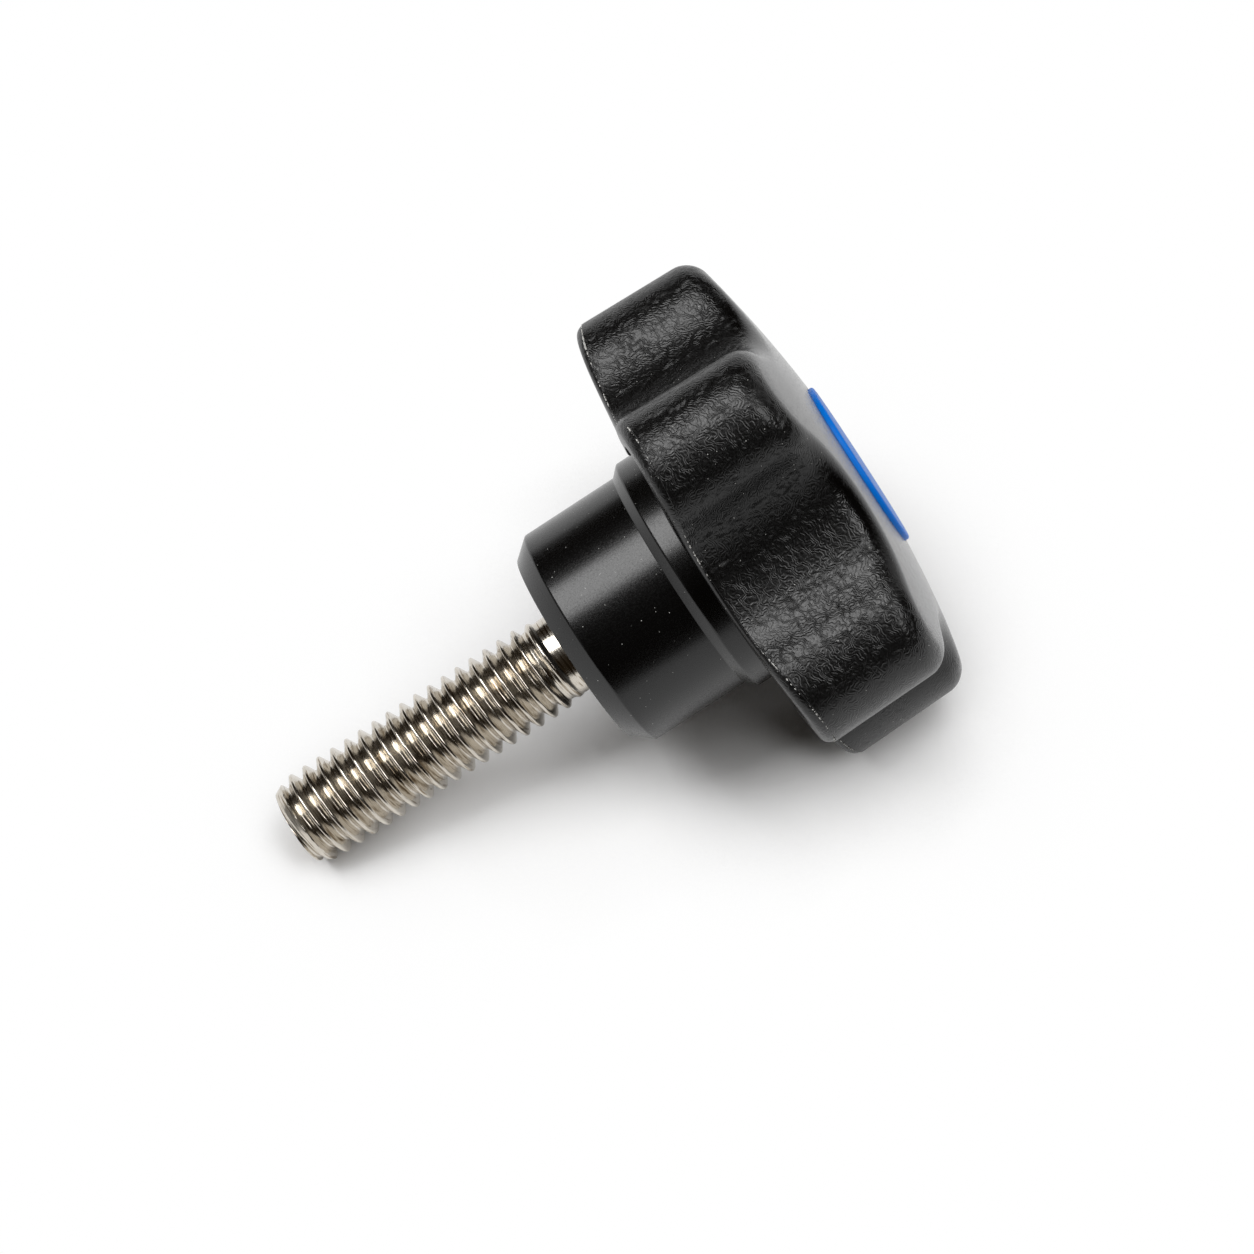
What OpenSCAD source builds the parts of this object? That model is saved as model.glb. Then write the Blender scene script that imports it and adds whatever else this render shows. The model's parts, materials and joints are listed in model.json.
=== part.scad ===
// Thumb screw: a moulded five-lobe knob with a stepped hub, a metal stud and a press-in cap.
// It is drawn along its own axis, with the hub's end face at zero and the stud below it,
// and then laid down as it comes to rest: on two lobes of the head and on the stud's tip.

/* [Stud] */
// Outside diameter of the thread
thread_d = 5.8; // [4:0.05:8]
// Pitch of the thread, which sets the bare shank and the chamfer at the tip
thread_pitch = 1; // [0.5:0.05:1.25]
// Free length of the stud, from the hub's face to the tip
stud_l = 20; // [12:1:40]
// Length of bare shank between the hub and the thread
shank_gap = 0.8; // [0.3:0.1:3]
// Length of the chamfer at the tip
tip_l = 1; // [0.3:0.1:2]
// Size across the flats of the hexagon that is moulded in
anchor_af = 9.4; // [8:0.1:10.5]
// Thickness of that hexagon
anchor_h = 4; // [2:0.5:5]
// Height of its underside above the hub's face
anchor_z = 5; // [3:0.5:7]

/* [Hub] */
// Diameter of the hub
hub_d = 14.5; // [13:0.1:15]
// Length of the hub, from its face to the step
hub_l = 7.5; // [5:0.5:12]
// Width of the chamfer round the hub's face, across the axis
hub_chamfer = 1; // [0.2:0.1:1.5]
// Length of that chamfer along the axis
hub_chamfer_l = 1.2; // [0.2:0.1:2]
// Gap round the thread of the shallow relief in the hub's face
relief_gap = 0.25; // [0.1:0.05:0.5]
// Depth of the relief
relief_h = 0.3; // [0.1:0.1:0.6]
// Diameter of the collar above the step
collar_d = 15.7; // [15.4:0.1:17]
// Length of the collar, from the step to the level of the head's lower rim
collar_l = 1.9; // [1:0.1:3]

/* [Head] */
// Number of lobes
lobes = 5; // [4:1:6]
// Diameter over the lobes
head_d = 32.5; // [30:0.5:40]
// Diameter of each lobe
lobe_d = 8.2; // [7.6:0.1:9]
// Diameter of the circle that touches the hollows between the lobes
waist_d = 22.1; // [21:0.1:23]
// Height of the head, from the level of its lower rim to the top of its crown
head_h = 10.95; // [9:0.05:14]
// Radius of the crowned top
crown_r = 68; // [50:1:120]
// Rise of the lower rim from the collar to the tips of the lobes
under_rise = 0.9; // [0.5:0.1:2.5]
// Height of the mould's parting line above the lower rim, beside the collar
parting_h = 0.32; // [0.2:0.02:0.8]
// Rise of the parting line above the rim's own, out to the tips of the lobes
parting_rise = 0.32; // [0:0.02:0.8]
// Draft of the wall round the lobes, in degrees
wall_draft = 2.25; // [0.5:0.05:4]
// Rounding of the top edge
top_round = 1.3; // [0.5:0.1:1.8]
// Width of the rounded edge below the parting line, across the wall
bottom_round = 0.6; // [0.3:0.05:1]
// Width of the whole lower rim, from the wall to the recess inside it
rim_wall = 1.6; // [1.2:0.1:2]
// Depth of the recess above the level of the lower rim
recess_h = 1.5; // [1.2:0.1:2.5]
// Width of the pockets that core out the lobes above the recess
pocket_w = 3.8; // [2:0.1:4]
// Ledge between a pocket and the edge of the recess, at the tip of its lobe
pocket_ledge = 0.4; // [0.2:0.1:1]
// Ledge between the collar and the pockets
collar_ledge = 1; // [0.6:0.1:2]
// Depth of the pockets above the recess
pocket_h = 5; // [3:0.5:6]

/* [Cap] */
// Diameter of the cap
cap_d = 10.7; // [10.2:0.1:12]
// Height by which the cap stands above its rim
cap_proud = 0.45; // [0.1:0.05:1]
// Depth of the seat that the cap's disc lies in
seat_h = 0.8; // [0.4:0.1:1.5]
// Rounding of the cap's top edge
cap_round = 0.15; // [0.05:0.05:0.3]
// Diameter of the core hole under the cap
core_d = 7.6; // [6:0.1:8.4]
// Depth of the core hole below the seat
core_h = 4; // [3:0.5:5]
// Height of the cap's skirt
skirt_h = 2.6; // [1.5:0.1:2.8]
// Wall of the cap's skirt
skirt_wall = 0.9; // [0.6:0.1:1.2]
// Gap round the cap and its skirt
cap_gap = 0.1; // [0.05:0.05:0.2]

/* [Hidden] */
$fn = 96;

// Thread: the bare shank has the pitch diameter, the tip is turned down nearly to the root.
// Its crests and roots go round as rings, one to a turn, and a flank is steep by sixty degrees.
pitch_line = 0.65;
shank_d = thread_d - pitch_line * thread_pitch;
tip_d = thread_d - thread_pitch;
crest_w = thread_pitch / 8;
root_w = thread_pitch / 4;
flank_w = (thread_pitch - crest_w - root_w) / 2;
root_d = thread_d - 2 * flank_w / tan(30);
turns = floor((stud_l - tip_l - shank_gap - crest_w) / thread_pitch);

// Heights along the axis, from the hub's face
under_z = hub_l + collar_l;
crown_z = under_z + head_h;
recess_z = under_z + recess_h;
step_chamfer = (collar_d - hub_d) / 2;

// Lobed outline: each lobe is an arc, each hollow an arc that touches the lobes beside it
half_pitch = 180 / lobes;
lobe_r = lobe_d / 2;
waist_r = waist_d / 2;
lobe_c = head_d / 2 - lobe_r;
hollow_r = (pow(lobe_c, 2) + pow(waist_r, 2) - 2 * lobe_c * waist_r * cos(half_pitch) - pow(lobe_r, 2))
    / (2 * (lobe_c * cos(half_pitch) + lobe_r - waist_r));
hollow_c = waist_r + hollow_r;
touch_a = atan2(hollow_c * sin(half_pitch), hollow_c * cos(half_pitch) - lobe_c);
lobe_steps = 12;
hollow_steps = 8;

// Rings of the head: flat round the collar below, and round the cap's seat above
round_steps = 5;
spread_steps = 3;
rim_flat = 0.4;
overcut = 1;
inner_r = collar_d / 2 + rim_flat;
seat_r = cap_d / 2 + cap_gap;
outer_r = seat_r + rim_flat;
rim_z = crown_z - crown_drop(outer_r);
seat_z = rim_z - seat_h;
wall_h = head_h - under_rise - parting_h - parting_rise - top_round - crown_drop(head_d / 2);
wall_inset = wall_h * tan(wall_draft);

function crown_drop(r) = crown_r - sqrt(pow(crown_r, 2) - pow(r, 2));
function crown_at(r) = crown_z - crown_drop(max(r, outer_r));
function spread(r) = pow(max(r - inner_r, 0) / (head_d / 2 - inner_r), 2);
function under_at(r) = under_z + under_rise * spread(r);
function parting_at(r) = under_at(r) + parting_h + parting_rise * spread(r);
function turn(p, a) = [p.x * cos(a) - p.y * sin(a), p.x * sin(a) + p.y * cos(a)];
function shift(p, at, z) = [at * p.x / norm(p), at * p.y / norm(p), z];

// One lobe's arc and the hollow after it, moved in by an inset
function lobe_arc(inset) = [
    for (i = [0:lobe_steps - 1])
        let (a = touch_a * (2 * i / lobe_steps - 1))
        [lobe_c + (lobe_r - inset) * cos(a), (lobe_r - inset) * sin(a)]
];
function hollow_arc(inset) = [
    for (i = [0:hollow_steps - 1])
        let (a = half_pitch + 180 + (touch_a - half_pitch) * (1 - 2 * i / hollow_steps))
        hollow_c * [cos(half_pitch), sin(half_pitch)] + (hollow_r + inset) * [cos(a), sin(a)]
];
function outline(inset) = [
    for (k = [0:lobes - 1], p = concat(lobe_arc(inset), hollow_arc(inset)))
        turn(p, half_pitch * (2 * k + 1))
];

// Rings of points, from the collar out and up the wall to the cap's seat
function under_ring(t) = [
    for (p = outline(bottom_round))
        let (r = inner_r + t * (norm(p) - inner_r))
        shift(p, r, under_at(r))
];
function bottom_ring(a) = [
    for (p = outline(bottom_round * (1 - sin(a))))
        let (r = norm(p))
        shift(p, r, under_at(r) * cos(a) + parting_at(r) * (1 - cos(a)))
];
function top_ring(a) = [
    for (p = outline(wall_inset + top_round * (1 - cos(a))))
        let (r = norm(p))
        shift(p, r, crown_at(r) - top_round * (1 - sin(a)))
];
function crown_ring(t) = [
    for (p = outline(wall_inset + top_round))
        let (r = norm(p) + t * (outer_r - norm(p)))
        shift(p, r, crown_at(r))
];
head_rings = concat(
    [for (i = [0:spread_steps - 1]) under_ring(i / spread_steps)],
    [for (i = [0:round_steps]) bottom_ring(90 * i / round_steps)],
    [for (i = [0:round_steps]) top_ring(90 * i / round_steps)],
    [for (i = [1:spread_steps]) crown_ring(i / spread_steps)]
);
head_points = [for (ring = head_rings, p = ring) p];

// Rest: the tilt at which the two lower lobes and the edge of the stud's chamfer touch the ground
tip_z = tip_l - stud_l;
tilt = max([for (p = head_points) atan2(p.x - thread_d / 2, p.z - tip_z)]);
rest_z = thread_d / 2 * cos(tilt) - tip_z * sin(tilt);
near_x = -stud_l * cos(tilt) - tip_d / 2 * sin(tilt);
far_x = max([for (p = head_points) p.z * cos(tilt) + p.x * sin(tilt)]);

// Lays what is drawn along the axis down on the ground, with the origin under the middle of its box
module at_rest() {
    translate([-(near_x + far_x) / 2, 0, rest_z]) rotate([0, 90 - tilt, 0]) children();
}

module lobed_head() {
    count = len(head_rings[0]);
    last = len(head_rings) - 1;
    sides = [
        for (i = [0:last - 1], j = [0:count - 1])
            let (k = (j + 1) % count, a = i * count, b = a + count)
            each [[a + j, b + j, b + k], [a + j, b + k, a + k]]
    ];
    bottom = [for (j = [0:count - 1]) j];
    top = [for (j = [count - 1:-1:0]) last * count + j];
    polyhedron(points = head_points, faces = concat([bottom], sides, [top]));
}

module hub_profile() {
    face_r = hub_d / 2 - hub_chamfer;
    relief_r = thread_d / 2 + relief_gap;
    polygon([
        [0, relief_h],
        [relief_r, relief_h],
        [relief_r, 0],
        [face_r, 0],
        [hub_d / 2, hub_chamfer_l],
        [hub_d / 2, hub_l],
        [collar_d / 2, hub_l + step_chamfer],
        [collar_d / 2, recess_z + rim_flat],
        [0, recess_z + rim_flat]
    ]);
}

// Part of the stud that the plastic is moulded round
module anchor() {
    cylinder(d = shank_d, h = anchor_z + anchor_h);
    translate([0, 0, anchor_z]) cylinder(d = anchor_af / cos(30), h = anchor_h, $fn = 6);
}

// Lobed recess that leaves the rim standing round the underside
module recess() {
    translate([0, 0, under_z - overcut])
        linear_extrude(recess_h + overcut) polygon(outline(rim_wall));
}

// Slot that runs from beside the collar out into a lobe, above the recess
module pocket() {
    from = collar_d / 2 + collar_ledge + pocket_w / 2;
    to = head_d / 2 - rim_wall - pocket_ledge - pocket_w / 2;
    depth = pocket_h + overcut;
    translate([0, 0, recess_z - overcut]) {
        translate([from, 0, 0]) cylinder(d = pocket_w, h = depth);
        translate([to, 0, 0]) cylinder(d = pocket_w, h = depth);
        translate([from, -pocket_w / 2, 0]) cube([to - from, pocket_w, depth]);
    }
}

module knob_body() {
    color("#1c1c1e") at_rest() difference() {
        union() {
            difference() {
                lobed_head();
                recess();
            }
            rotate_extrude() hub_profile();
        }
        anchor();
        translate([0, 0, seat_z]) cylinder(r = seat_r, h = seat_h + overcut);
        translate([0, 0, seat_z - core_h]) cylinder(d = core_d, h = core_h + overcut);
        for (k = [0:lobes - 1]) rotate(half_pitch * (2 * k + 1)) pocket();
    }
}

// Half section of the stud, from its tip up along the crests and roots of the thread
module stud_profile() {
    crest_r = thread_d / 2;
    root_r = root_d / 2;
    rings = [
        for (i = [0:turns - 1])
            let (z = tip_z + i * thread_pitch)
            each [
                [crest_r, z],
                [crest_r, z + crest_w],
                [root_r, z + crest_w + flank_w],
                [root_r, z + crest_w + flank_w + root_w]
            ]
    ];
    polygon(concat(
        [[0, -stud_l], [tip_d / 2, -stud_l]],
        rings,
        [
            [crest_r, tip_z + turns * thread_pitch],
            [crest_r, -shank_gap],
            [shank_d / 2, -shank_gap],
            [shank_d / 2, anchor_z],
            [0, anchor_z]
        ]
    ));
}

module stud() {
    color("#c8c2b4") at_rest() {
        rotate_extrude($fn = 48) stud_profile();
        translate([0, 0, anchor_z]) cylinder(d = anchor_af / cos(30), h = anchor_h, $fn = 6);
    }
}

module cap() {
    cap_r = cap_d / 2;
    cap_z = rim_z + cap_proud;
    skirt_r = core_d / 2 - cap_gap;
    color("#0a5ec4") at_rest() rotate_extrude() polygon([
        [0, seat_z],
        [skirt_r - skirt_wall, seat_z],
        [skirt_r - skirt_wall, seat_z - skirt_h],
        [skirt_r, seat_z - skirt_h],
        [skirt_r, seat_z],
        [cap_r, seat_z],
        [cap_r, cap_z - cap_round],
        [cap_r - cap_round, cap_z],
        [0, cap_z]
    ]);
}

knob_body();
stud();
cap();
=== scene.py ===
# %% [markdown]
# A thumb screw, dressed for its picture.
# The real object is one black plastic moulding with five lobes and a stepped hub, a bright
# threaded stud that is moulded into it, and a blue cap pressed into the top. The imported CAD
# model gives the place and the size of each piece. This lesson makes the finished surfaces
# round it: the rounded lobes, the helical thread, the mould's parting line and the materials.

import json
import math
from functools import partial

import bmesh
import bpy
from mathutils import Euler, Matrix, Vector

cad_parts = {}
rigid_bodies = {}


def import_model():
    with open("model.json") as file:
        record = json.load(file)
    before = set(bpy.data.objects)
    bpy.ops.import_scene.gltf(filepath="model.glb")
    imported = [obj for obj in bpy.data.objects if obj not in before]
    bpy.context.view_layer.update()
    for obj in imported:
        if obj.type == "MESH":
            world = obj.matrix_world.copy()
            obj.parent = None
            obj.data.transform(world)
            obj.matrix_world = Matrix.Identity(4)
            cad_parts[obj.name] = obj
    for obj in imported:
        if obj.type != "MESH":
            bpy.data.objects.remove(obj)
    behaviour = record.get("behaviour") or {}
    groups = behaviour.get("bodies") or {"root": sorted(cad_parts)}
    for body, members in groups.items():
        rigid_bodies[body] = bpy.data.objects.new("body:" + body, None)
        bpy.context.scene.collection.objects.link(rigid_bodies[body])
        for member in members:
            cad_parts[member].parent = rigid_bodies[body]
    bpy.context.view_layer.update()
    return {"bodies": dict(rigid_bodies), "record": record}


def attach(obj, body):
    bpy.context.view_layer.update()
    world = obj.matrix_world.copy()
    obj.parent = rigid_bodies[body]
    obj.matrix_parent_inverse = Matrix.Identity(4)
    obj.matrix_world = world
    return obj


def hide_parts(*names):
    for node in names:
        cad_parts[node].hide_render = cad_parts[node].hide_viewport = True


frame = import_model()

# %% [markdown]
# The screw lies tilted on two of its lobes and on the tip of the stud, so nothing in it is
# square to the ground. It is far easier to draw along its own axis, in millimetres, with the
# hub's end face at zero, the head above it and the stud below it. One matrix then lays each
# finished mesh down. That matrix is read from the record: the stud's mount gives the axis, and
# the hub's mount gives the plane of its face.

# %% The screw's own axis
MM = 0.001
quarter = math.pi / 2
mounts = {mount["name"]: mount for mount in frame["record"]["mounts"]}
axis = -Vector(mounts["stud"]["axis"])
on_axis = Vector(mounts["stud"]["pos_m"])
to_face = (Vector(mounts["hub_face"]["pos_m"]) - on_axis).dot(axis)
hub_face = on_axis + to_face * axis
tilt = math.atan2(axis.z, axis.x)
turned = Euler((0, quarter - tilt, 0))
lay_down = Matrix.LocRotScale(hub_face, turned, Vector((MM, MM, MM)))
print("tilt of the axis, degrees:", round(math.degrees(tilt), 2))

# %% [markdown]
# These are the sizes of the head, in millimetres. Lengths along the axis are heights above the
# hub's face. They repeat the driving sizes of the CAD model, because a finished surface that
# stands for a solid has to keep its form. The other sizes come where they are first needed.

# %% Sizes of the head
LOBES = 5
HEAD_R = 16.25  # to the tip of a lobe
LOBE_R = 4.1
WAIST_R = 11.05  # to the bottom of a hollow
COLLAR_R = 7.85
UNDER_Z = 9.4  # the lower edge, beside the collar
UNDER_RISE = 0.9  # how far that edge climbs towards the tips
PARTING_H = 0.32  # the parting line above the lower edge
PARTING_RISE = 0.32
RECESS_H = 1.5
CROWN_Z = 20.34
CROWN_R = 68.0
SEAT_R = 5.45
SEAT_H = 0.8
RIM_FLAT = 0.4
inner_r = COLLAR_R + RIM_FLAT
rim_r = SEAT_R + RIM_FLAT
print("head, mm across:", 2 * HEAD_R, "lobes:", LOBES)

# %% [markdown]
# The outline is five equal arcs, the lobes, joined by five hollow arcs that touch them. The
# reach of a lobe, its radius and the waist fix it: the radius of the hollows and the angle at
# which two arcs touch follow from those, so they are worked out and can't drift apart.

# %% Where the arcs of the outline touch
half_pitch = math.pi / LOBES
lobe_c = HEAD_R - LOBE_R
hollow_r = (lobe_c**2 + WAIST_R**2 - 2 * lobe_c * WAIST_R * math.cos(half_pitch) - LOBE_R**2) / (
    2 * (lobe_c * math.cos(half_pitch) + LOBE_R - WAIST_R)
)
hollow_c = WAIST_R + hollow_r
touch = math.atan2(hollow_c * math.sin(half_pitch), hollow_c * math.cos(half_pitch) - lobe_c)
print("hollow radius, mm:", round(hollow_r, 3), "touch, degrees:", round(math.degrees(touch), 1))

# %% [markdown]
# Seen from the side, the head is bounded by gentle curves that depend only on how far a point
# is from the axis. The crown is a shallow dome, the lower edge climbs towards the tips of the
# lobes, and the parting line above it climbs a little more.

# %% Heights of the head


def crown_at(r):
    return CROWN_Z - (CROWN_R - math.sqrt(CROWN_R**2 - max(r, rim_r) ** 2))


def spread(r):
    return (max(r - inner_r, 0) / (HEAD_R - inner_r)) ** 2


def under_at(r):
    return UNDER_Z + UNDER_RISE * spread(r)


def parting_at(r):
    return under_at(r) + PARTING_H + PARTING_RISE * spread(r)


rim_z = crown_at(0)
recess_z = UNDER_Z + RECESS_H
seat_z = rim_z - SEAT_H
print("rim, seat and recess at, mm:", round(rim_z, 3), round(seat_z, 3), round(recess_z, 3))

# %% [markdown]
# Small helpers for meshes. A mesh that is drawn along the axis becomes an object, a modifier's
# result becomes a plain mesh, and a closed mesh gets its doubles merged and its faces turned
# outwards. The last helper lays a finished mesh down, smooths it, gives it its material and
# hides the plain solid that it stands for.

# %% Helpers for meshes
MERGE_MM = 1e-5
DEGENERATE_MM = 1e-6
SHARP_DEGREES = 32
root = "root" if "root" in frame["bodies"] else next(iter(frame["bodies"]))


def as_object(name, points, faces, edges=()):
    mesh = bpy.data.meshes.new(name)
    mesh.from_pydata(points, edges, faces)
    mesh.validate()
    piece = bpy.data.objects.new(name, mesh)
    bpy.context.scene.collection.objects.link(piece)
    return piece


def apply_modifiers(piece):
    graph = bpy.context.evaluated_depsgraph_get()
    mesh = bpy.data.meshes.new_from_object(piece.evaluated_get(graph))
    piece.modifiers.clear()
    old = piece.data
    piece.data = mesh
    bpy.data.meshes.remove(old)


def face_outwards(piece):
    work = bmesh.new()
    work.from_mesh(piece.data)
    bmesh.ops.remove_doubles(work, verts=work.verts, dist=MERGE_MM)
    bmesh.ops.dissolve_degenerate(work, edges=work.edges, dist=DEGENERATE_MM)
    bmesh.ops.recalc_face_normals(work, faces=work.faces)
    open_edges = sum(1 for edge in work.edges if not edge.is_manifold)
    work.to_mesh(piece.data)
    work.free()
    print(piece.name, "open edges:", open_edges)


def lay_piece(piece, node, material, sharp=SHARP_DEGREES):
    mesh = piece.data
    mesh.transform(lay_down)
    mesh.shade_smooth()
    mesh.set_sharp_from_angle(angle=math.radians(sharp))
    mesh.materials.clear()
    mesh.materials.append(material)
    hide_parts(node)
    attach(piece, root)
    print(piece.name, "triangles:", sum(len(face.vertices) - 2 for face in mesh.polygons))


print("all pieces ride on:", root)

# %% [markdown]
# Geometry Nodes trees are built in code here. One helper makes a new tree with a mesh going in
# and out and with named number inputs, one ends a tree by realizing it and giving it its
# material, and one hangs a tree on an object. A modifier's inputs are set by the identifier of
# each socket, because two sockets may share a name.

# %% Helpers for node trees


def new_tree(name, numbers, has_mesh=True):
    tree = bpy.data.node_groups.new(name, "GeometryNodeTree")
    face = tree.interface
    if has_mesh:
        face.new_socket("Geometry", in_out="INPUT", socket_type="NodeSocketGeometry")
    for label, kind in numbers.items():
        face.new_socket(label, in_out="INPUT", socket_type="NodeSocket" + kind)
    face.new_socket("Geometry", in_out="OUTPUT", socket_type="NodeSocketGeometry")
    return tree, tree.nodes.new("NodeGroupInput").outputs, tree.nodes.new("NodeGroupOutput")


def end_tree(tree, geometry, material, end):
    real = tree.nodes.new("GeometryNodeRealizeInstances")
    tree.links.new(geometry, real.inputs[0])
    finish = tree.nodes.new("GeometryNodeSetMaterial")
    finish.inputs["Material"].default_value = material
    tree.links.new(real.outputs[0], finish.inputs["Geometry"])
    tree.links.new(finish.outputs[0], end.inputs["Geometry"])
    print("tree", tree.name, "nodes:", len(tree.nodes))


def hang_tree(piece, tree, values):
    modifier = piece.modifiers.new(tree.name, "NODES")
    modifier.node_group = tree
    for item in tree.interface.items_tree:
        if item.in_out == "INPUT" and item.name in values:
            modifier[item.identifier] = values[item.name]


print("tree helpers: new_tree, end_tree, hang_tree")

# %% [markdown]
# Materials and Geometry Nodes share the nodes that do sums, so the same small helpers serve
# both. The last one counts the turns of a right-handed screw: how far a point has climbed along
# the axis, less how far it has gone round. The thread follows it, and so do the fine lines on
# the steel.

# %% Helpers for sums in a tree


def math_node(tree, operation, *values, clamp=False):
    node = tree.nodes.new("ShaderNodeMath")
    node.operation = operation
    node.use_clamp = clamp
    for slot, value in zip(node.inputs, values):
        if isinstance(value, (int, float)):
            slot.default_value = value
        else:
            tree.links.new(value, slot)
    return node.outputs[0]


def parts_of(tree, vector):
    node = tree.nodes.new("ShaderNodeSeparateXYZ")
    tree.links.new(vector, node.inputs[0])
    return node.outputs


def vector_of(tree, **parts):
    node = tree.nodes.new("ShaderNodeCombineXYZ")
    for name, value in parts.items():
        tree.links.new(value, node.inputs[name])
    return node.outputs[0]


def screw_turns(tree, x, y, z, pitch):
    climbed = math_node(tree, "DIVIDE", z, pitch)
    gone_round = math_node(tree, "DIVIDE", math_node(tree, "ARCTAN2", y, x), 2 * math.pi)
    return math_node(tree, "SUBTRACT", climbed, gone_round)


print("sum helpers: math_node, parts_of, vector_of, screw_turns")

# %% [markdown]
# Materials come before the pieces, because each tree below ends by setting one. All of them are
# worked out from Object coordinates, which a Mapping node turns into millimetres along the
# screw's own axis. A pattern then sits still on its piece from any side, and its scale can be
# read as a size on the real object. An image would be quicker, but it blurs close up.

# %% Helpers for materials
NOISE_LOW, NOISE_HIGH = 0.3, 0.7  # where most of a noise's values lie


def new_material(name):
    material = bpy.data.materials.new(name)
    material.use_nodes = True
    return material, material.node_tree, material.node_tree.nodes["Principled BSDF"]


def axis_coordinates(tree):
    place = tree.nodes.new("ShaderNodeTexCoord")
    mapping = tree.nodes.new("ShaderNodeMapping")
    mapping.vector_type = "TEXTURE"
    mapping.inputs["Location"].default_value = hub_face
    mapping.inputs["Rotation"].default_value = turned
    mapping.inputs["Scale"].default_value = (MM, MM, MM)
    tree.links.new(place.outputs["Object"], mapping.inputs["Vector"])
    return mapping.outputs["Vector"]


def noise(tree, coordinates, scale, detail=2.0, roughness=0.5):
    node = tree.nodes.new("ShaderNodeTexNoise")
    node.inputs["Scale"].default_value = scale
    node.inputs["Detail"].default_value = detail
    node.inputs["Roughness"].default_value = roughness
    tree.links.new(coordinates, node.inputs["Vector"])
    return node.outputs["Fac"]


def map_range(tree, value, low, high, to_low=0.0, to_high=1.0):
    node = tree.nodes.new("ShaderNodeMapRange")
    node.interpolation_type = "SMOOTHSTEP"
    node.inputs["From Min"].default_value = low
    node.inputs["From Max"].default_value = high
    node.inputs["To Min"].default_value = to_low
    node.inputs["To Max"].default_value = to_high
    tree.links.new(value, node.inputs["Value"])
    return node.outputs["Result"]


def bump(tree, height, strength, depth, normal=None):
    """A bump whose depth is in millimetres, laid over another one if that is given"""
    node = tree.nodes.new("ShaderNodeBump")
    node.inputs["Distance"].default_value = depth * MM
    if isinstance(strength, (int, float)):
        node.inputs["Strength"].default_value = strength
    else:
        tree.links.new(strength, node.inputs["Strength"])
    tree.links.new(height, node.inputs["Height"])
    if normal is not None:
        tree.links.new(normal, node.inputs["Normal"])
    return node.outputs["Normal"]


def mix_colours(tree, factor, low, high):
    node = tree.nodes.new("ShaderNodeMix")
    node.data_type = "RGBA"
    for slot, value in ((node.inputs[6], low), (node.inputs[7], high)):
        if isinstance(value, tuple):
            slot.default_value = (*value, 1)
        else:
            tree.links.new(value, slot)
    tree.links.new(factor, node.inputs[0])
    return node.outputs[2]


def surface(tree, shader, **looks):
    for name, value in looks.items():
        tree.links.new(value, shader.inputs[name.replace("_", " ")])


print("material helpers: new_material, noise, map_range, bump, mix_colours, surface")

# %% [markdown]
# The head was moulded against a spark-eroded tool, so its walls carry a fine wormy grain that
# breaks a highlight up, like a fingerprint. Plain noise gives round blobs, and a Gabor texture
# gives the right ridges but makes a render twice as slow. So the grain is a plain ramp, bent by
# a slow noise and then waved by a sine. The pale specks are chips of the glass filler: one in
# each cell of a Voronoi pattern, of which a share is kept, some brighter than others.

# %% The grain and the specks of the plastic
GRAIN_LEAD = (3.8, 2.5, 3.5)  # ridges per millimetre, along each direction
GRAIN_SWIRL = 6.5
GRAIN_SWIRL_SCALE = 1.7
SPECK_SCALE = 2.8  # cells per millimetre
SPECK_R = 0.042
SPECK_SHARE = 0.35


def worm_grain(tree, coordinates):
    calc = partial(math_node, tree)
    ramp = tree.nodes.new("ShaderNodeVectorMath")
    ramp.operation = "DOT_PRODUCT"
    ramp.inputs[1].default_value = GRAIN_LEAD
    tree.links.new(coordinates, ramp.inputs[0])
    swirl = calc("MULTIPLY", noise(tree, coordinates, GRAIN_SWIRL_SCALE, 1.0), GRAIN_SWIRL)
    phase = calc("ADD", ramp.outputs["Value"], swirl)
    wave = calc("SINE", calc("MULTIPLY", phase, 2 * math.pi))
    return calc("ADD", calc("MULTIPLY", wave, 0.5), 0.5)


def pale_specks(tree, coordinates):
    cells = tree.nodes.new("ShaderNodeTexVoronoi")
    cells.inputs["Scale"].default_value = SPECK_SCALE
    tree.links.new(coordinates, cells.inputs["Vector"])
    reach = SPECK_R * SPECK_SCALE
    near_speck = map_range(tree, cells.outputs["Distance"], 0.5 * reach, reach, 1.0, 0.0)
    pick = tree.nodes.new("ShaderNodeSeparateColor")
    tree.links.new(cells.outputs["Color"], pick.inputs[0])
    chosen = math_node(tree, "GREATER_THAN", pick.outputs[0], 1 - SPECK_SHARE)
    bright = math_node(tree, "MULTIPLY", chosen, pick.outputs[1])
    return math_node(tree, "MULTIPLY", near_speck, bright)


print("speck size, mm:", 2 * SPECK_R, "share of cells with a speck:", SPECK_SHARE)

# %% [markdown]
# A black moulding is never plain black: what is seen of it is mostly its gloss. The wall of the
# head has the full grain and is the most matt, the crown is smoother and glossier, and the hub
# has no worms at all, only a slight orange peel. One material does all three, because they are
# one moulding, and the height along the axis tells them apart. Three bumps lie over each other:
# a slow unevenness of the whole surface, a fine roughness and the worms.

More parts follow.
